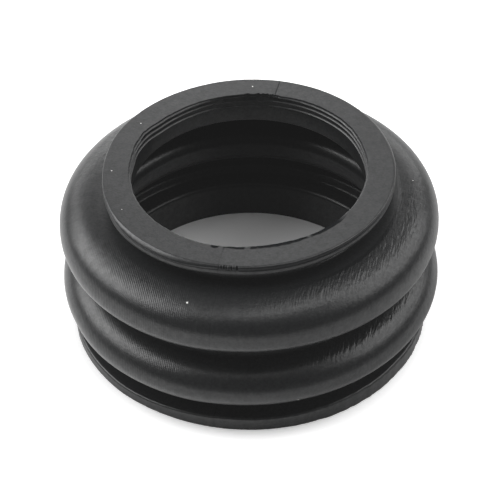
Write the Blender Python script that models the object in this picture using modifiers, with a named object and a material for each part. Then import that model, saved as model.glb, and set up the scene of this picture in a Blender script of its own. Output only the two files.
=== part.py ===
"""Ball joint boot: a one-piece moulded rubber bellows that keeps grease in a car's ball joint.

The foot stands on the floor at z = 0 and the turning axis is +Z. From the floor up the outside has
the foot flange, the clip groove, the lower bulge, the waist groove, the upper bulge with its wide
shoulder, the neck groove and the flat collar. Metres, worked out from millimetres.
"""
import math

import bpy

MM = 0.001

# Heights, stacked from the floor up
FLANGE_THICKNESS = 2.1 * MM
CLIP_GROOVE_WIDTH = 2.5 * MM
LOWER_BULGE_UNDERSIDE = 3.1 * MM
LOWER_BULGE_RISE = 3.9 * MM
WAIST_GROOVE_WIDTH = 3.8 * MM
UPPER_BULGE_UNDERSIDE = 2.5 * MM
SHOULDER_RISE = 5.0 * MM
NECK_GROOVE_WIDTH = 2.2 * MM
COLLAR_THICKNESS = 1.9 * MM

# Radii, and how far each form stands out from its neighbour
GROOVE_RADIUS = 23.6 * MM
LOWER_BULGE_REACH = 4.8 * MM
UPPER_BULGE_REACH = 4.4 * MM
WAIST_GROOVE_DEPTH = 0.8 * MM
FLANGE_REACH = 3.2 * MM
NECK_BORE_RADIUS = 17.4 * MM
COLLAR_REACH = 1.9 * MM

# Walls and the two bores
BELLOWS_WALL = 1.5 * MM
NECK_WALL = 1.8 * MM
NECK_LAND_LENGTH = 5.0 * MM
FOOT_WALL = 1.4 * MM
FOOT_BORE_TAPER = 1.0 * MM
FOOT_BORE_LENGTH = 5.2 * MM

# Sealing ribs in the upper part of the neck bore
RIB_COUNT = 3
RIB_PITCH = 1.0 * MM
RIB_HEIGHT = 0.25 * MM
RIB_HALF_WIDTH = 0.2 * MM
FIRST_RIB_DEPTH = 0.5 * MM

# Rounded edges
COLLAR_EDGE = 0.35 * MM
NECK_FILLET = 0.6 * MM
FLANGE_EDGE = 0.4 * MM
FOOT_CORNER = 0.4 * MM

# How square each bulge is: 2 is an ellipse, and more is fuller
SHOULDER_FULLNESS = 2.4
UNDERSIDE_FULLNESS = 2.3
ROUND_FULLNESS = 2.0

# Steps round the turn, and in each quarter of a bulge
FACETS = 64
OUTSIDE_STEPS = 5
INSIDE_STEPS = 3
EDGE_STEPS = 2

RUBBER_COLOR = (0.012, 0.012, 0.014, 1.0)
RUBBER_ROUGHNESS = 0.42

flange_top = FLANGE_THICKNESS
lower_bulge_foot = flange_top + CLIP_GROOVE_WIDTH
lower_crest = lower_bulge_foot + LOWER_BULGE_UNDERSIDE
waist_foot = lower_crest + LOWER_BULGE_RISE
waist_top = waist_foot + WAIST_GROOVE_WIDTH
upper_crest = waist_top + UPPER_BULGE_UNDERSIDE
shoulder_top = upper_crest + SHOULDER_RISE
collar_foot = shoulder_top + NECK_GROOVE_WIDTH
top = collar_foot + COLLAR_THICKNESS

neck_radius = NECK_BORE_RADIUS + NECK_WALL
collar_radius = neck_radius + COLLAR_REACH
shoulder_radius = neck_radius + NECK_FILLET
shoulder_reach = GROOVE_RADIUS + UPPER_BULGE_REACH - shoulder_radius
flange_radius = GROOVE_RADIUS + FLANGE_REACH
foot_bore_top_radius = GROOVE_RADIUS - FOOT_WALL
foot_bore_mouth_radius = foot_bore_top_radius - FOOT_BORE_TAPER


def arc(center, reach, rise, start, end, steps, fullness=ROUND_FULLNESS):
    """Points (radius, height) along a rounded arc; angles in degrees, 0 outward and 90 up."""
    points = []
    for step in range(steps + 1):
        angle = math.radians(start + (end - start) * step / steps)
        across, along = math.cos(angle), math.sin(angle)
        radius = center[0] + reach * math.copysign(abs(across) ** (2 / fullness), across)
        height = center[1] + rise * math.copysign(abs(along) ** (2 / fullness), along)
        points.append((radius, height))
    return points


def rounded(center, radius, start, end):
    """A small round edge or fillet."""
    return arc(center, radius, radius, start, end, EDGE_STEPS)


def join(*runs):
    """One run of points, with the repeated point where two runs meet taken out."""
    joined = []
    for run in runs:
        for point in run:
            if not joined or math.dist(point, joined[-1]) > 0.01 * MM:
                joined.append(point)
    return joined


def bellows(steps):
    """The outside of both bulges and the waist groove between them, from the shoulder down."""
    upper = (GROOVE_RADIUS, upper_crest)
    lower = (GROOVE_RADIUS, lower_crest)
    waist = (GROOVE_RADIUS, (waist_top + waist_foot) / 2)
    shoulder = (shoulder_radius, upper_crest)
    return join(
        arc(shoulder, shoulder_reach, SHOULDER_RISE, 90, 0, steps + 2, SHOULDER_FULLNESS),
        arc(upper, UPPER_BULGE_REACH, UPPER_BULGE_UNDERSIDE, 0, -90, steps, UNDERSIDE_FULLNESS),
        arc(waist, WAIST_GROOVE_DEPTH, WAIST_GROOVE_WIDTH / 2, 90, 270, steps),
        arc(lower, LOWER_BULGE_REACH, LOWER_BULGE_RISE, 90, 0, steps),
        arc(lower, LOWER_BULGE_REACH, LOWER_BULGE_UNDERSIDE, 0, -90, steps),
    )


def inset(run, wall):
    """The same run moved inward by the wall, square to it; the run leaves and meets its ends level."""
    level_start = (run[0][0] - wall, run[0][1])
    level_end = (run[-1][0] - wall, run[-1][1])
    padded = [level_start, *run, level_end]
    moved = []
    for before, point, after in zip(padded, run, padded[2:]):
        across, up = after[0] - before[0], after[1] - before[1]
        length = math.hypot(across, up)
        moved.append((point[0] + wall * up / length, point[1] - wall * across / length))
    return moved


def sealing_ribs():
    """The small pointed ribs of the neck bore, from the bottom one up."""
    points = []
    for rib in reversed(range(RIB_COUNT)):
        crest = top - FIRST_RIB_DEPTH - rib * RIB_PITCH
        points.append((NECK_BORE_RADIUS, crest - RIB_HALF_WIDTH))
        points.append((NECK_BORE_RADIUS - RIB_HEIGHT, crest))
        points.append((NECK_BORE_RADIUS, crest + RIB_HALF_WIDTH))
    return points


def boot_profile():
    """The closed section of the wall: down the outside, across the foot and up the inside."""
    collar = join(
        [(NECK_BORE_RADIUS, top)],
        rounded((collar_radius - COLLAR_EDGE, top - COLLAR_EDGE), COLLAR_EDGE, 90, 0),
        rounded((collar_radius - COLLAR_EDGE, collar_foot + COLLAR_EDGE), COLLAR_EDGE, 0, -90),
        rounded((shoulder_radius, collar_foot - NECK_FILLET), NECK_FILLET, 90, 180),
        rounded((shoulder_radius, shoulder_top + NECK_FILLET), NECK_FILLET, 180, 270),
    )
    foot = join(
        [(GROOVE_RADIUS, flange_top)],
        rounded((flange_radius - FLANGE_EDGE, flange_top - FLANGE_EDGE), FLANGE_EDGE, 90, 0),
        [(flange_radius, 0), (foot_bore_mouth_radius, 0)],
        rounded((foot_bore_top_radius + FOOT_CORNER, FOOT_BORE_LENGTH - FOOT_CORNER), FOOT_CORNER, 180, 90),
    )
    inside = list(reversed(inset(bellows(INSIDE_STEPS), BELLOWS_WALL)))
    neck_land = [(NECK_BORE_RADIUS, top - NECK_LAND_LENGTH)]
    return join(collar, bellows(OUTSIDE_STEPS), foot, inside, neck_land, sealing_ribs())


def rubber():
    """Black moulded rubber, satin rather than shiny."""
    material = bpy.data.materials.new("black rubber")
    material.use_nodes = True
    shader = material.node_tree.nodes["Principled BSDF"]
    shader.inputs["Base Color"].default_value = RUBBER_COLOR
    shader.inputs["Roughness"].default_value = RUBBER_ROUGHNESS
    shader.inputs["Metallic"].default_value = 0.0
    return material


def turned(name, profile, collection):
    """A ring turned from a closed profile, given as (radius, height) points, round the +Z axis."""
    mesh = bpy.data.meshes.new(name)
    points = [(radius, 0, height) for radius, height in profile]
    edges = [(index, (index + 1) % len(points)) for index in range(len(points))]
    mesh.from_pydata(points, edges, [])
    ring = bpy.data.objects.new(name, mesh)
    collection.objects.link(ring)
    screw = ring.modifiers.new("Turn", "SCREW")
    screw.axis = "Z"
    screw.angle = math.radians(360)
    screw.steps = FACETS
    screw.render_steps = FACETS
    screw.use_merge_vertices = True
    screw.merge_threshold = 0.01 * MM
    screw.use_smooth_shade = True
    return ring


for leftover in list(bpy.data.objects):
    bpy.data.objects.remove(leftover, do_unlink=True)

boot_collection = bpy.data.collections.new("Ball joint boot")
bpy.context.scene.collection.children.link(boot_collection)

boot = turned("boot", boot_profile(), boot_collection)
boot.data.materials.append(rubber())
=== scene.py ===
import math

import bpy
import numpy as np
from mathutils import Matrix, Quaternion, Vector


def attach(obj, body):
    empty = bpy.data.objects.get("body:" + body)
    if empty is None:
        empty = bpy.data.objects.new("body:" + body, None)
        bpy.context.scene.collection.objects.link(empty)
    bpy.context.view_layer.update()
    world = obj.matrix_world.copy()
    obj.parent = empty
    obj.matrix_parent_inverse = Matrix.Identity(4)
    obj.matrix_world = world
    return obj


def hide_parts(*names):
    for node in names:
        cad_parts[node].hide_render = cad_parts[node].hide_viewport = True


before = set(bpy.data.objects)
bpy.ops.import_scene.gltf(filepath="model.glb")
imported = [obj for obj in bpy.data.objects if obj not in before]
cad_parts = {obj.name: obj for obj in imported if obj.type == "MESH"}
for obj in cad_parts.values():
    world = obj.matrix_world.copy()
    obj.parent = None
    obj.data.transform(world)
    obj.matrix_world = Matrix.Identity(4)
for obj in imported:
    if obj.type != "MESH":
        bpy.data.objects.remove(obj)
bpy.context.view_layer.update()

MM = 0.001
CAMERA_DISTANCE = 300 * MM
CAMERA_ELEVATION = math.radians(42.0)
CAMERA_ROLL = math.radians(-0.36)
AIM_HEIGHT = 10.88 * MM
LENS = 143.3
SENSOR = 36.0

toward_viewer = Vector((0, -math.cos(CAMERA_ELEVATION), math.sin(CAMERA_ELEVATION)))
camera_data = bpy.data.cameras.new("camera")
camera_data.lens = LENS
camera_data.sensor_width = SENSOR
camera_data.clip_start = 10 * MM
camera = bpy.data.objects.new("camera", camera_data)
bpy.context.scene.collection.objects.link(camera)
camera.location = Vector((0, 0, AIM_HEIGHT)) + CAMERA_DISTANCE * toward_viewer
camera.rotation_mode = "QUATERNION"
level = (-toward_viewer).to_track_quat("-Z", "Y")
camera.rotation_quaternion = level @ Quaternion((0, 0, 1), CAMERA_ROLL)
bpy.context.scene.camera = camera
bpy.context.scene.view_settings.view_transform = "Standard"


# The tabletop: a sheet of white paper that runs on behind the boot.
# It is matt, keeps the boot's soft shadow and is clean white everywhere else in the picture.
# Painted reflection: only glossy rays see it glow beside the boot, from the middle to the left, so it shows
# in the rubber's reflections.
def add_node(tree, kind, settings=None, **links):
    """Adds a node: settings go on the node, links are sockets or plain values for its inputs."""
    node = tree.nodes.new(kind)
    for name, value in (settings or {}).items():
        setattr(node, name, value)
    for name, source in links.items():
        socket = node.inputs[int(name[1:])] if name[1:].isdigit() else node.inputs[name.replace("_", " ")]
        if isinstance(source, bpy.types.NodeSocket):
            tree.links.new(source, socket)
        else:
            socket.default_value = source
    return node


def linear(hex_color):
    """An sRGB hex colour as linear RGBA."""
    values = [int(hex_color[i:i + 2], 16) / 255 for i in (1, 3, 5)]
    return tuple(v / 12.92 if v <= 0.04045 else ((v + 0.055) / 1.055) ** 2.4 for v in values) + (1.0,)


def new_material(name):
    """An empty node material, with its tree and its output."""
    material = bpy.data.materials.new(name)
    material.use_nodes = True
    tree = material.node_tree
    tree.nodes.clear()
    return material, tree, tree.nodes.new("ShaderNodeOutputMaterial")


PAPER_RADIUS = 3.0
PAPER_DROP = 0.02 * MM
PAPER_WHITE = "#F4F4F4"
SHADOW_INNER = 22.5 * MM
SHADOW_OUTER = 29.0 * MM
SHADOW_MIDDLE = (-0.9 * MM, -0.8 * MM, 0)
CLEAN_WHITE = 0.6
GLOSS_INNER = 26.0 * MM
GLOSS_OUTER = 31.0 * MM
GLOSS_WHITE = 1.0
GLOSS_FADED = 44.0 * MM
FADED_SHARE = 0.35
GLOSS_STARTS_X = 15 * MM
GLOSS_FULL_X = -30 * MM

paper, tree, output = new_material("white paper")
light_path = add_node(tree, "ShaderNodeLightPath")
place = add_node(tree, "ShaderNodeTexCoord")
flat_place = add_node(
    tree, "ShaderNodeVectorMath", {"operation": "MULTIPLY"}, _0=place.outputs["Object"], _1=(1, 1, 0),
)
distance = add_node(tree, "ShaderNodeVectorMath", {"operation": "LENGTH"}, _0=flat_place.outputs["Vector"])
from_shadow = add_node(
    tree, "ShaderNodeVectorMath", {"operation": "DISTANCE"},
    _0=flat_place.outputs["Vector"], _1=SHADOW_MIDDLE,
)
clean = add_node(
    tree, "ShaderNodeMapRange", {"interpolation_type": "SMOOTHSTEP"}, Value=from_shadow.outputs["Value"],
    From_Min=SHADOW_INNER, From_Max=SHADOW_OUTER, To_Min=0.0, To_Max=CLEAN_WHITE,
)
seen_white = add_node(
    tree, "ShaderNodeMath", {"operation": "MULTIPLY"},
    _0=clean.outputs[0], _1=light_path.outputs["Is Camera Ray"],
)
# Painted reflection: a glow that only glossy rays see, near the boot and stronger to the left.
gloss = add_node(
    tree, "ShaderNodeMapRange", {"interpolation_type": "SMOOTHSTEP"}, Value=distance.outputs["Value"],
    From_Min=GLOSS_INNER, From_Max=GLOSS_OUTER, To_Min=0.0, To_Max=GLOSS_WHITE,
)
faded = add_node(
    tree, "ShaderNodeMapRange", {"interpolation_type": "SMOOTHSTEP"}, Value=distance.outputs["Value"],
    From_Min=GLOSS_OUTER, From_Max=GLOSS_FADED, To_Min=1.0, To_Max=FADED_SHARE,
)
near_gloss = add_node(
    tree, "ShaderNodeMath", {"operation": "MULTIPLY"}, _0=gloss.outputs[0], _1=faded.outputs[0],
)
sides = add_node(tree, "ShaderNodeSeparateXYZ", Vector=place.outputs["Object"])
leftward = add_node(
    tree, "ShaderNodeMapRange",
    Value=sides.outputs["X"], From_Min=GLOSS_STARTS_X, From_Max=GLOSS_FULL_X, To_Min=0.0, To_Max=1.0,
)
gloss_left = add_node(
    tree, "ShaderNodeMath", {"operation": "MULTIPLY"}, _0=near_gloss.outputs[0], _1=leftward.outputs[0],
)
white = add_node(
    tree, "ShaderNodeMath", {"operation": "MULTIPLY_ADD"},
    _0=gloss_left.outputs[0], _1=light_path.outputs["Is Glossy Ray"], _2=seen_white.outputs[0],
)
glow = add_node(tree, "ShaderNodeEmission", Color=linear(PAPER_WHITE), Strength=white.outputs[0])
matt = add_node(tree, "ShaderNodeBsdfDiffuse", Color=linear(PAPER_WHITE))
lit_paper = add_node(tree, "ShaderNodeAddShader", _0=matt.outputs[0], _1=glow.outputs[0])
tree.links.new(lit_paper.outputs[0], output.inputs["Surface"])

bpy.ops.mesh.primitive_circle_add(
    vertices=96, radius=PAPER_RADIUS, fill_type="NGON", location=(0, 0, -PAPER_DROP),
)
tabletop = bpy.context.object
tabletop.name = "tabletop"
tabletop.data.materials.append(paper)


# The light: a dim white room with six soft boxes, the strongest on the left, one on the right, two behind
# and two above. The black rubber shows them as satin highlights, and the paper, with its painted glow, as
# bright lower edges.
BOX_DISTANCE = 0.8
ROOM_LIGHT = 0.1

world = bpy.data.worlds.new("white room")
bpy.context.scene.world = world
world.use_nodes = True
tree = world.node_tree
tree.nodes.clear()
output = tree.nodes.new("ShaderNodeOutputWorld")
light_path = add_node(tree, "ShaderNodeLightPath")
room = add_node(tree, "ShaderNodeBackground", Color=(1, 1, 1, 1), Strength=ROOM_LIGHT)
seen_room = add_node(tree, "ShaderNodeBackground", Color=(1, 1, 1, 1), Strength=1.0)
either = add_node(
    tree, "ShaderNodeMixShader",
    _0=light_path.outputs["Is Camera Ray"], _1=room.outputs[0], _2=seen_room.outputs[0],
)
tree.links.new(either.outputs[0], output.inputs["Surface"])


def soft_box(name, azimuth, elevation, width, height, radiance, tilt=0.0):
    """Adds a lamp that faces the boot; azimuth 0 is behind it and 90 on its right, in degrees."""
    lamp = bpy.data.lights.new(name, "AREA")
    lamp.shape = "RECTANGLE"
    lamp.size = width
    lamp.size_y = height
    lamp.energy = radiance * math.pi * width * height
    box = bpy.data.objects.new(name, lamp)
    bpy.context.scene.collection.objects.link(box)
    around, up = math.radians(azimuth), math.radians(elevation)
    out = Vector((math.sin(around) * math.cos(up), math.cos(around) * math.cos(up), math.sin(up)))
    box.location = out * BOX_DISTANCE
    box.rotation_mode = "QUATERNION"
    box.rotation_quaternion = out.to_track_quat("Z", "Y") @ Quaternion((0, 0, 1), math.radians(tilt))
    box.visible_camera = False


soft_box("left box", -76, 41, 0.78, 0.44, 5.4, tilt=35)
soft_box("right box", 75, 40, 0.88, 0.42, 2.7, tilt=-25)
soft_box("low back strip", -3, 18, 1.2, 0.26, 2.3)
soft_box("high back strip", -5, 36, 0.66, 0.15, 2.15, tilt=-60)
soft_box("right top box", 88, 74, 0.3, 0.6, 2.5, tilt=40)
soft_box("front top box", -145, 75, 0.3, 0.25, 1.2)


# The boot: one moulding of black rubber, turned in shape: two bulges between a collar and a foot flange.
# It was moulded in two outer halves round a core, which left a thin parting line at the front and the back.
# The soft rubber stands a little askew on its foot, and the two halves met with a small step.
HEIGHT = 27.0
COLLAR_FOOT = 25.4
SHOULDER_TOP = 22.9
UPPER_CREST = 17.9
WAIST_TOP = 15.4
WAIST_FOOT = 11.6
LOWER_CREST = 7.7
LOWER_FOOT = 4.6
FLANGE_TOP = 2.1
GROOVE_RADIUS = 23.6
WAIST_DEPTH = 0.8
UPPER_RADIUS = 28.06
LOWER_RADIUS = 28.42
FLANGE_RADIUS = 26.8
COLLAR_RADIUS = 21.42
NECK_RADIUS = 19.2
NECK_FILLET = 0.6
BORE_RADIUS = 17.4
RIB_CRESTS = (24.9, 25.85, 26.67)
NECK_LAND = 22.0
FOOT_BORE_TOP = 22.2
FOOT_BORE_MOUTH = 21.1
FOOT_BORE_LENGTH = 5.1
WALL = 1.5
MOUTH_EDGE = 0.2
GROOVE_CORNER = 0.3
FLANGE_EDGE = 0.4
SOLE_EDGE = 0.15
FOOT_BORE_EDGE = 0.75
LAND_CORNER = 0.25
RIB_DEPTH = 0.24
FLASH_RADIUS = 25.5
FLASH_HEIGHT = 0.15
FLASH_WIDTH = 0.08
SAME_POINT = 0.004
EDGE_ROWS = 6
FACE_ROWS = 5
RIM_ROWS = 9
TURN_STEPS = 336


def arc(center, reach, rise, start, end, count, fullness=2.0):
    """Points (radius, height) along a rounded arc, in millimetres; 0 degrees is outward and 90 up."""
    angle = np.radians(np.linspace(start, end, count))
    across, up = np.cos(angle), np.sin(angle)
    radius = center[0] + reach * np.sign(across) * np.abs(across) ** (2 / fullness)
    height = center[1] + rise * np.sign(up) * np.abs(up) ** (2 / fullness)
    return np.column_stack([radius, height])


def line(start, end, count):
    """Points (radius, height) along a straight run."""
    return np.linspace(start, end, count)


def join(runs):
    """One run of points, with the repeated point where two runs meet taken out."""
    points = [runs[0][0]]
    for point in np.vstack(runs)[1:]:
        if np.hypot(*(point - points[-1])) > SAME_POINT:
            points.append(point)
    return np.array(points)


shoulder = NECK_RADIUS + NECK_FILLET
waist = (WAIST_TOP + WAIST_FOOT) / 2
upper_bulge = join([
    arc((shoulder, UPPER_CREST), UPPER_RADIUS - shoulder, SHOULDER_TOP - UPPER_CREST, 90, 0, 26, 2.4),
    arc((GROOVE_RADIUS, UPPER_CREST), UPPER_RADIUS - GROOVE_RADIUS, UPPER_CREST - WAIST_TOP, 0, -90, 14, 2.3),
])
lower_bulge = join([
    arc((GROOVE_RADIUS, waist), WAIST_DEPTH, WAIST_TOP - waist, 180, 270, 6),
    arc((GROOVE_RADIUS, LOWER_CREST), LOWER_RADIUS - GROOVE_RADIUS, WAIST_FOOT - LOWER_CREST, 90, 0, 18),
    arc((GROOVE_RADIUS, LOWER_CREST), LOWER_RADIUS - GROOVE_RADIUS, LOWER_CREST - LOWER_FOOT, 0, -90, 14),
])
outside = join([
    arc((BORE_RADIUS + MOUTH_EDGE, HEIGHT - MOUTH_EDGE), MOUTH_EDGE, MOUTH_EDGE, 160, 90, EDGE_ROWS),
    line((18.3, HEIGHT), (COLLAR_RADIUS - 0.95, HEIGHT), FACE_ROWS),
    arc((COLLAR_RADIUS - 0.35, HEIGHT - 0.38), 0.35, 0.38, 88, 0, RIM_ROWS),
    line((COLLAR_RADIUS - 0.04, HEIGHT - 0.7), (COLLAR_RADIUS - 0.08, HEIGHT - 0.9), 2),
    line((COLLAR_RADIUS - 0.01, COLLAR_FOOT + 0.5), (COLLAR_RADIUS, COLLAR_FOOT + 0.35), 3),
    arc((COLLAR_RADIUS - 0.22, COLLAR_FOOT + 0.28), 0.22, 0.28, 0, -90, 6),
    arc((shoulder, COLLAR_FOOT - NECK_FILLET), NECK_FILLET, NECK_FILLET, 90, 180, 5),
    arc((shoulder, SHOULDER_TOP + NECK_FILLET), NECK_FILLET, NECK_FILLET, 180, 265, 5),
    upper_bulge,
    arc((GROOVE_RADIUS, waist), WAIST_DEPTH, WAIST_TOP - waist, 90, 180, 6),
    lower_bulge,
    arc(
        (GROOVE_RADIUS + GROOVE_CORNER, FLANGE_TOP + GROOVE_CORNER), GROOVE_CORNER, GROOVE_CORNER,
        180, 270, 4,
    ),
    arc((FLANGE_RADIUS - FLANGE_EDGE, FLANGE_TOP - FLANGE_EDGE), FLANGE_EDGE, FLANGE_EDGE, 90, 0, 7),
    line((FLANGE_RADIUS, FLANGE_TOP - 0.6), (FLANGE_RADIUS, 0.3), 4),
    arc((FLANGE_RADIUS - SOLE_EDGE, SOLE_EDGE), SOLE_EDGE, SOLE_EDGE, 0, -90, 3),
])
neck_ribs = [arc((BORE_RADIUS, crest), RIB_DEPTH, 0.14, 270, 90, 5, 1.4) for crest in RIB_CRESTS]
hollow = LOWER_RADIUS - GROOVE_RADIUS - WALL
lower_hollow = join([
    line((23.3, 5.12), (24.8, 5.25), 4),
    line((25.12, 5.4), (25.26, 6.2), 2),
    arc((GROOVE_RADIUS, LOWER_CREST), hollow, LOWER_CREST - LOWER_FOOT - WALL, -58, -51, 7),
    arc((GROOVE_RADIUS, LOWER_CREST), hollow, LOWER_CREST - LOWER_FOOT - WALL, -46, 0, 5),
    arc((GROOVE_RADIUS, LOWER_CREST), hollow, WAIST_FOOT - LOWER_CREST - WALL, 0, 90, 8),
    arc((GROOVE_RADIUS, waist), WAIST_DEPTH + WALL, waist - WAIST_FOOT + WALL, 270, 182, 8),
])
flash = FLASH_HEIGHT * np.exp(-((lower_hollow[:, 0] - FLASH_RADIUS) / FLASH_WIDTH) ** 2)
lower_hollow[:, 1] += flash * (lower_hollow[:, 1] < LOWER_CREST)
edge_start = FOOT_BORE_LENGTH - FOOT_BORE_EDGE
inside = join([
    line((FOOT_BORE_MOUTH, 0), (FOOT_BORE_TOP, edge_start), 5),
    arc((FOOT_BORE_TOP + FOOT_BORE_EDGE, edge_start), FOOT_BORE_EDGE, FOOT_BORE_EDGE, 172, 90, 8),
    lower_hollow,
    line((21.3, 13.6), (21.32, 13.9), 2),
    arc((22.75, 13.95), 1.43, 1.77, 178, 98, 14, 1.7),
    arc((22.7, UPPER_CREST), 3.8, 2.15, -86, 0, 9, 1.25),
    arc(
        (shoulder, UPPER_CREST), UPPER_RADIUS - shoulder - WALL, SHOULDER_TOP - UPPER_CREST - WALL,
        0, 90, 12, 2.4,
    ),
    arc((BORE_RADIUS + LAND_CORNER, NECK_LAND + LAND_CORNER), LAND_CORNER, LAND_CORNER, 250, 180, 4),
    *neck_ribs,
])
profile = np.vstack([outside, inside])
is_outer = np.arange(len(profile)) < len(outside)

# The angles round the turn, closer together at the two parting lines and at the nicks beside the front one.
PARTING_ANGLES = np.radians([258.5, 76.5])
NICK_ANGLES = np.radians(np.arange(261.2, 267.0, 0.3))
near_parting = np.radians(np.concatenate([np.arange(0.12, 0.5, 0.12), np.arange(0.6, 2.5, 0.3)]))
near_parting = np.concatenate([-near_parting[::-1], [0.0], near_parting])
angles = [np.linspace(0, 2 * np.pi, TURN_STEPS, endpoint=False)]
angles += [parting + near_parting for parting in PARTING_ANGLES]
angles.append(NICK_ANGLES)
angles = np.unique(np.round(np.concatenate(angles) % (2 * np.pi), 6))


def turned_by(angle, start):
    """How far round an angle lies from a start, between minus and plus half a turn."""
    return (angle - start + np.pi) % (2 * np.pi) - np.pi


def ragged(seed, finest):
    """A ragged line round the boot between about -1 and 1, from waves up to so many per turn."""
    waves = np.random.default_rng(seed)
    line_height = np.zeros_like(angles)
    for count in np.geomspace(5, finest, 24).astype(int):
        line_height += np.sin(count * angles + waves.uniform(0, 2 * np.pi)) * waves.uniform(0.3, 1.0)
    return line_height / 4.0


def patch(middle, width):
    """A soft-edged stretch of the way round, 1 in its middle; degrees, 0 on the right and 90 behind."""
    return np.exp(-(turned_by(angles, math.radians(middle)) / math.radians(width)) ** 4)


SEAM_GROOVE = 0.008
SEAM_WIDTH = 0.09
SEAM_STEP = 0.004
STEP_WIDTH = 0.1
HALF_STEP = 0.08
BODY_LEAN = math.radians(-0.8)
COLLAR_LEAN = math.radians(-1.2)
LEAN_SHIFT = -0.18
normal = np.gradient(profile, axis=0)
normal = np.column_stack([-normal[:, 1], normal[:, 0]])
normal /= np.linalg.norm(normal, axis=1)[:, None]
radius = np.repeat(profile[:, :1], len(angles), axis=1)
height = np.repeat(profile[:, 1:], len(angles), axis=1)

front_offset, back_offset = (turned_by(angles, parting) for parting in PARTING_ANGLES)
front_length, back_length = radius * front_offset, radius * back_offset
front_seam = np.exp(-(front_length / SEAM_WIDTH) ** 2)
back_seam = np.exp(-(back_length / SEAM_WIDTH) ** 2)
seam = -SEAM_GROOVE * (front_seam + back_seam)
seam += SEAM_STEP * np.tanh(front_length / STEP_WIDTH) * np.exp(-np.abs(front_length) / 4)
seam *= is_outer[:, None]
radius += seam * normal[:, :1]
height += seam * normal[:, 1:]
right_half = np.tanh(front_length / 2.0) * np.cos(front_offset / 2) ** 2
below_collar = is_outer & (profile[:, 1] < COLLAR_FOOT) & (profile[:, 1] > 0.3)
height += HALF_STEP * right_half * below_collar[:, None]

# The mouth's edge: sharp and ragged behind, torn at two places there, soft and drawn in at the front.
SHARPEST = 0.08
DRAWN_IN = 0.34
SWAY_FOOT = 22.5
TEAR_FOOT = 26.2
edge_rows = slice(0, EDGE_ROWS)
gaps = patch(257.3, 0.9) + patch(269.5, 0.8) + patch(299, 0.8)
softness = SHARPEST + (0.55 + 0.15 * ragged(9, 90)) * patch(277, 22) * (1 - 0.8 * gaps)
softness += 0.7 * patch(254.4, 2.2) + 0.3 * patch(293, 12) + 0.7 * patch(312, 10)
sway = 0.28 * patch(45, 24) + 0.35 * patch(154, 11)
torn = sway + 0.04 * ragged(3, 160) + (0.2 + 0.25 * ragged(4, 260)) * patch(83, 9)
torn += (0.1 + 0.12 * ragged(5, 300)) * patch(149, 6) - 0.25 * patch(281, 19)
edge_step = np.array([0.0, 0.3, 0.6, 0.9, 1.0, 1.06])[:, None]
edge_drop = np.array([0.3, 0.2, 0.1, 0.02, 0.0, 0.0])[:, None]
radius[edge_rows] = BORE_RADIUS + torn - DRAWN_IN * (softness - SHARPEST) + softness * edge_step
height[edge_rows] = HEIGHT - softness * edge_drop
land_rows = ~is_outer & (profile[:, 0] < BORE_RADIUS + 0.1)
height -= np.outer(land_rows * np.clip((profile[:, 1] - RIB_CRESTS[0]) / 1.8, 0, 1), 0.3 * softness)
radius += np.outer(land_rows * np.clip((profile[:, 1] - SWAY_FOOT) / 2, 0, 1), sway)
radius += np.outer(land_rows * np.clip((profile[:, 1] - TEAR_FOOT) / 0.3, 0, 1), torn - sway)
rib_fade = 0.45 * patch(92, 13) + 0.4 * patch(92, 27)
radius += np.outer(land_rows * np.maximum(0, BORE_RADIUS - profile[:, 0]), rib_fade)

# The rim isn't quite round: it stands out at the front left, where its edge is also softest.
# Beside the seam its edge keeps a row of small nicks.
NICK_DEPTH = 0.1
rim_start = EDGE_ROWS + FACE_ROWS
rim_rows = slice(rim_start, rim_start + RIM_ROWS)
rim_turn = np.radians(np.linspace(88, 0, RIM_ROWS))[:, None]
rim_softness = 0.22 + 0.42 * patch(230, 24) + 0.2 * patch(280, 30) + 0.12 * patch(0, 32)
rim_softness += 0.2 * patch(28, 26)
bevel = 1 + 0.6 * patch(232, 24)
radius[rim_rows] = COLLAR_RADIUS - rim_softness * (1 - np.cos(rim_turn) ** bevel)
height[rim_rows] = HEIGHT - 0.9 * rim_softness * (1 - np.sin(rim_turn) ** bevel)
on_rim = (is_outer & (profile[:, 1] > COLLAR_FOOT)) * np.clip((profile[:, 0] - 19.6) / 1.2, 0, 1)
drift = 0.55 * patch(228, 24) - 0.2 * patch(176, 15) + 0.14 * patch(275, 25)
drift -= 0.12 * patch(100, 50)
nicks = np.maximum(0, np.sin(380 * angles) + ragged(6, 200)) * patch(262, 4)
nicks += 1.6 * patch(265.7, 0.4)
radius += on_rim[:, None] * drift
rim_edge = on_rim * (profile[:, 1] > HEIGHT - 0.5) * (profile[:, 0] > COLLAR_RADIUS - 0.3)
radius -= rim_edge[:, None] * (NICK_DEPTH * nicks + 0.015 * ragged(7, 90))

# The right half of the collar's face is a hair lower at the mouth, from the seam on.
FACE_STEP = 0.05
on_face = is_outer & (profile[:, 1] > HEIGHT - 0.01) & (profile[:, 0] < COLLAR_RADIUS - 0.5)
dished = np.clip((COLLAR_RADIUS - profile[:, 0]) / 4, 0, 1) * on_face
height -= np.outer(dished, FACE_STEP * np.clip(front_offset / 0.01, 0, 1) * patch(258.5, 60))

# The face stays flat right up to the rim: its last row follows the rim's first.
FACE_END_GAP = 0.03
radius[rim_start - 1] = radius[rim_start] - FACE_END_GAP
height[rim_start - 1] = height[rim_start]

# The lower bulge and the flange aren't quite round either, and the flange grows thicker from left to right.
lower_side = is_outer & (profile[:, 1] > 2.5) & (profile[:, 1] < waist)
radius -= np.outer(lower_side, 0.26 * patch(192, 20))
flange_share = is_outer * (profile[:, 1] < FLANGE_TOP + 0.35) * np.clip((profile[:, 1] - 0.6) / 0.9, 0, 1)
thicker = 0.1 * patch(272, 22) + 0.4 * patch(322, 32) - 0.42 * patch(214, 30)
height += np.outer(flange_share, thicker)
flange_edge = is_outer & (profile[:, 1] < FLANGE_TOP) & (profile[:, 0] > 25)
radius += np.outer(flange_edge, 0.2 * patch(212, 22))

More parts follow.
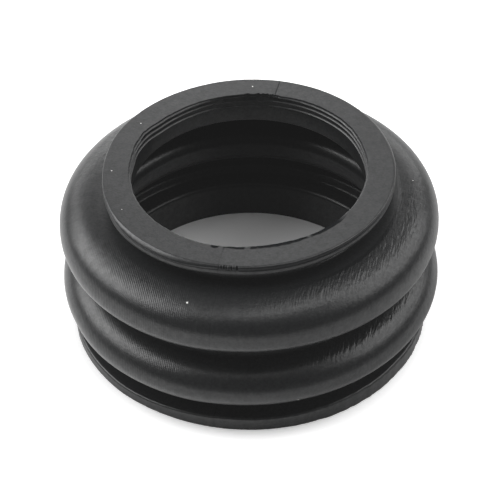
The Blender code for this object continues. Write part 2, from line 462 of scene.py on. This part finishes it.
# The flange's side is rough, most of all on the right.
FRAY = 0.08
flange_side = is_outer & (profile[:, 0] > FLANGE_RADIUS - 0.5) & (profile[:, 1] < FLANGE_TOP)
rough_side = 0.25 + 0.75 * patch(315, 35)
radius += flange_side[:, None] * FRAY * (rough_side * ragged(8, 500))

x = radius * np.cos(angles)
y = radius * np.sin(angles)
lean = np.interp(height, (FLANGE_TOP, 7.0, 20.0, COLLAR_FOOT), (0.0, BODY_LEAN, BODY_LEAN, COLLAR_LEAN))
leaning_x = x * np.cos(lean) + LEAN_SHIFT * height / HEIGHT
leaning_z = height - x * np.sin(lean)
verts = np.column_stack([leaning_x.ravel(), y.ravel(), leaning_z.ravel()]) * MM

rows, columns = radius.shape
row, column = np.meshgrid(np.arange(rows), np.arange(columns), indexing="ij")
next_row, next_column = (row + 1) % rows, (column + 1) % columns
faces = np.stack([
    row * columns + column, next_row * columns + column,
    next_row * columns + next_column, row * columns + next_column,
], axis=-1).reshape(-1, 4)
boot_mesh = bpy.data.meshes.new("moulded_boot")
boot_mesh.from_pydata(verts.tolist(), [], faces.tolist())
boot_mesh.shade_smooth()
SHARP_TURN = math.radians(60)
boot_mesh.set_sharp_from_angle(angle=SHARP_TURN)

# The ribs' edges stay crisp where the ribs fade out.
ahead = np.roll(profile, -1, axis=0) - profile
slope = np.arctan2(ahead[:, 1], ahead[:, 0])
crisp_row = np.abs(turned_by(slope, np.roll(slope, 1))) > SHARP_TURN
edge_ends = np.zeros(2 * len(boot_mesh.edges), np.int32)
boot_mesh.edges.foreach_get("vertices", edge_ends)
end_rows = edge_ends.reshape(-1, 2) // columns
crisp = np.zeros(len(boot_mesh.edges), bool)
crisp_layer = boot_mesh.attributes["sharp_edge"]
crisp_layer.data.foreach_get("value", crisp)
crisp |= (end_rows[:, 0] == end_rows[:, 1]) & crisp_row[end_rows[:, 0]]
crisp_layer.data.foreach_set("value", crisp)
moulded_boot = bpy.data.objects.new("moulded_boot", boot_mesh)
bpy.context.scene.collection.objects.link(moulded_boot)

# Where the mould's cutter marks show: fine and even at the front left and the back right, coarse and broken
# at the front right and the back left, most of all on the flat shoulder.
bulges = (is_outer & (profile[:, 1] < SHOULDER_TOP - 0.1) & (profile[:, 1] > LOWER_FOOT))[:, None]
flat_top = np.clip((normal[:, 1:] - 0.82) / 0.1, 0, 1)
fine_marks = bulges * (patch(228, 24) + patch(50, 24))
coarse_marks = bulges * (0.12 + 0.88 * flat_top) * (patch(325, 42) + 0.8 * patch(130, 38))
coarse_marks += 0.1 * bulges
# Painted shade: the gloss is lowered to darken the inside behind, the mouth's edge, the rim's nicks, high on
# the rim's side and both seams.
PAINTED_SHADE_EDGE_ROWS = 4
high_on_side = slice(rim_rows.stop - 4, rim_rows.stop + 1)
painted_shade = 0.8 * (~is_outer & (profile[:, 1] < NECK_LAND))[:, None] * patch(88, 27)
painted_shade[:PAINTED_SHADE_EDGE_ROWS] += (1 - gaps) * np.minimum(
    1, 1.3 * patch(280, 26) + patch(312, 12) + patch(254.3, 2.4)
)
painted_shade[rim_rows] += 0.5 * nicks
painted_shade[high_on_side] += 0.55 * patch(292, 36)
painted_shade += is_outer[:, None] * (0.25 * front_seam + 0.9 * back_seam)
for name, amount in {"fine_marks": fine_marks, "coarse_marks": coarse_marks, "painted_shade": painted_shade}.items():
    layer = boot_mesh.attributes.new(name, "FLOAT", "POINT")
    layer.data.foreach_set("value", (amount * np.ones_like(radius)).astype(np.float32).ravel())

# Moulded black rubber: carbon-black rubber pressed in a machined steel mould.
# It is satin, with the cutter's marks printed on it in planes along the parting, and a fine grain.
RUBBER_BLACK = "#191A1B"
RUBBER_IOR = 1.5
RUBBER_ROUGHNESS = 0.33
PARTING_TURN = math.radians(11.5)
FINE_PITCH = 0.28 * MM
COARSE_PITCH = 0.28 * MM
MARK_LENGTH = 1.8 * MM
BLOTCH = 0.9 * MM
# A real grain is usually too fine to show from here, so it is drawn as coarse as it needs to show.
GRAIN = 0.35 * MM
# How deep each pattern is, in microns.
MICRON = 0.001 * MM
FINE_DEPTH = 13.0
COARSE_DEPTH = 85.0
BLOTCH_DEPTH = 80.0
GRAIN_DEPTH = 16.0
# The gloss of plain places and of places with painted shade, and the share by which it rises and falls from
# spot to spot.
FULL_GLOSS = 0.5
SHADED_GLOSS = 0.0
BLOOM = 0.3
# Not a property of rubber: a trace of glow that stands for the photograph's lifted blacks.
HAZE = 0.0095

rubber, tree, output = new_material("moulded black rubber")
place = add_node(tree, "ShaderNodeTexCoord")
across = add_node(tree, "ShaderNodeMapping", Vector=place.outputs["Object"], Rotation=(0, 0, PARTING_TURN))
lengthways = add_node(
    tree, "ShaderNodeMapping", Vector=across.outputs[0],
    Scale=(1 / COARSE_PITCH, 1 / MARK_LENGTH, 1 / MARK_LENGTH),
)
coarse = add_node(tree, "ShaderNodeTexNoise", Vector=lengthways.outputs[0], Scale=1.0, Detail=1.0)
fine = add_node(
    tree, "ShaderNodeTexWave", {"bands_direction": "X"},
    Vector=across.outputs[0], Scale=2 * math.pi / (20 * FINE_PITCH), Distortion=0.3, Detail=1.0,
)
grain = add_node(tree, "ShaderNodeTexNoise", Vector=place.outputs["Object"], Scale=1 / GRAIN, Detail=2.0)
blotch = add_node(tree, "ShaderNodeTexNoise", Vector=place.outputs["Object"], Scale=1 / BLOTCH, Detail=3.0)
fine_share = add_node(tree, "ShaderNodeAttribute", {"attribute_name": "fine_marks"})
coarse_share = add_node(tree, "ShaderNodeAttribute", {"attribute_name": "coarse_marks"})


def in_microns(height_socket, share, depth):
    """A pattern's height in microns where its share of the surface is 1."""
    deep = add_node(tree, "ShaderNodeMath", {"operation": "MULTIPLY"}, _0=height_socket, _1=depth)
    if share is None:
        return deep.outputs[0]
    shared = add_node(tree, "ShaderNodeMath", {"operation": "MULTIPLY"}, _0=deep.outputs[0], _1=share)
    return shared.outputs[0]


marks = add_node(
    tree, "ShaderNodeMath", {"operation": "ADD"},
    _0=in_microns(fine.outputs["Fac"], fine_share.outputs["Fac"], FINE_DEPTH),
    _1=in_microns(coarse.outputs[0], coarse_share.outputs["Fac"], COARSE_DEPTH),
)
mottle = add_node(
    tree, "ShaderNodeMath", {"operation": "ADD"},
    _0=in_microns(blotch.outputs[0], coarse_share.outputs["Fac"], BLOTCH_DEPTH),
    _1=in_microns(grain.outputs[0], None, GRAIN_DEPTH),
)
relief = add_node(tree, "ShaderNodeMath", {"operation": "ADD"}, _0=marks.outputs[0], _1=mottle.outputs[0])
bump = add_node(tree, "ShaderNodeBump", Strength=1.0, Distance=MICRON, Height=relief.outputs[0])
# Painted shade: the gloss falls from full to none as the painted-shade share rises from 0 to 1.
painted_shade_share = add_node(tree, "ShaderNodeAttribute", {"attribute_name": "painted_shade"})
even_gloss = add_node(
    tree, "ShaderNodeMapRange", Value=painted_shade_share.outputs["Fac"],
    From_Min=0.0, From_Max=1.0, To_Min=FULL_GLOSS, To_Max=SHADED_GLOSS,
)
uneven = add_node(
    tree, "ShaderNodeMath", {"operation": "MULTIPLY_ADD"},
    _0=blotch.outputs[0], _1=1.0, _2=grain.outputs[0],
)
bloom = add_node(
    tree, "ShaderNodeMapRange", Value=uneven.outputs[0],
    From_Min=0.6, From_Max=1.4, To_Min=1 - BLOOM, To_Max=1 + BLOOM,
)
gloss = add_node(
    tree, "ShaderNodeMath", {"operation": "MULTIPLY"}, _0=even_gloss.outputs[0], _1=bloom.outputs[0],
)

# Specks of white dust on the rubber, each at (angle, radius, height) with its own size.
DUST = (
    (88.0, 19.3, 27.0, 0.1), (145.5, 19.3, 27.0, 0.09), (180.5, 19.9, 27.0, 0.09),
    (250.0, 24.9, 22.2, 0.15), (284.0, 28.0, 6.8, 0.13), (4.0, 24.3, 22.3, 0.08), (206.0, 19.9, 27.0, 0.06),
)
DUST_WHITE = "#E8E8E4"
dust = 0.0
for turn, reach, level, size in DUST:
    ring = np.argmin(np.where(is_outer, np.hypot(profile[:, 0] - reach, profile[:, 1] - level), 99))
    spot = verts[ring * columns + np.argmin(np.abs(turned_by(angles, math.radians(turn))))]
    apart = add_node(
        tree, "ShaderNodeVectorMath", {"operation": "DISTANCE"}, _0=place.outputs["Object"], _1=tuple(spot),
    )
    in_speck = add_node(
        tree, "ShaderNodeMath", {"operation": "LESS_THAN"}, _0=apart.outputs["Value"], _1=size * MM,
    )
    all_specks = add_node(
        tree, "ShaderNodeMath", {"operation": "MAXIMUM"}, _0=dust, _1=in_speck.outputs[0],
    )
    dust = all_specks.outputs[0]
color = add_node(
    tree, "ShaderNodeMix", {"data_type": "RGBA"}, _0=dust, _6=linear(RUBBER_BLACK), _7=linear(DUST_WHITE),
)
skin = add_node(
    tree, "ShaderNodeBsdfPrincipled",
    Base_Color=color.outputs[2], Roughness=RUBBER_ROUGHNESS, IOR=RUBBER_IOR, Normal=bump.outputs[0],
    Specular_IOR_Level=gloss.outputs[0], Emission_Color=(1, 1, 1, 1), Emission_Strength=HAZE,
)
tree.links.new(skin.outputs[0], output.inputs["Surface"])
boot_mesh.materials.append(rubber)

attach(moulded_boot, "root")
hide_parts("boot")
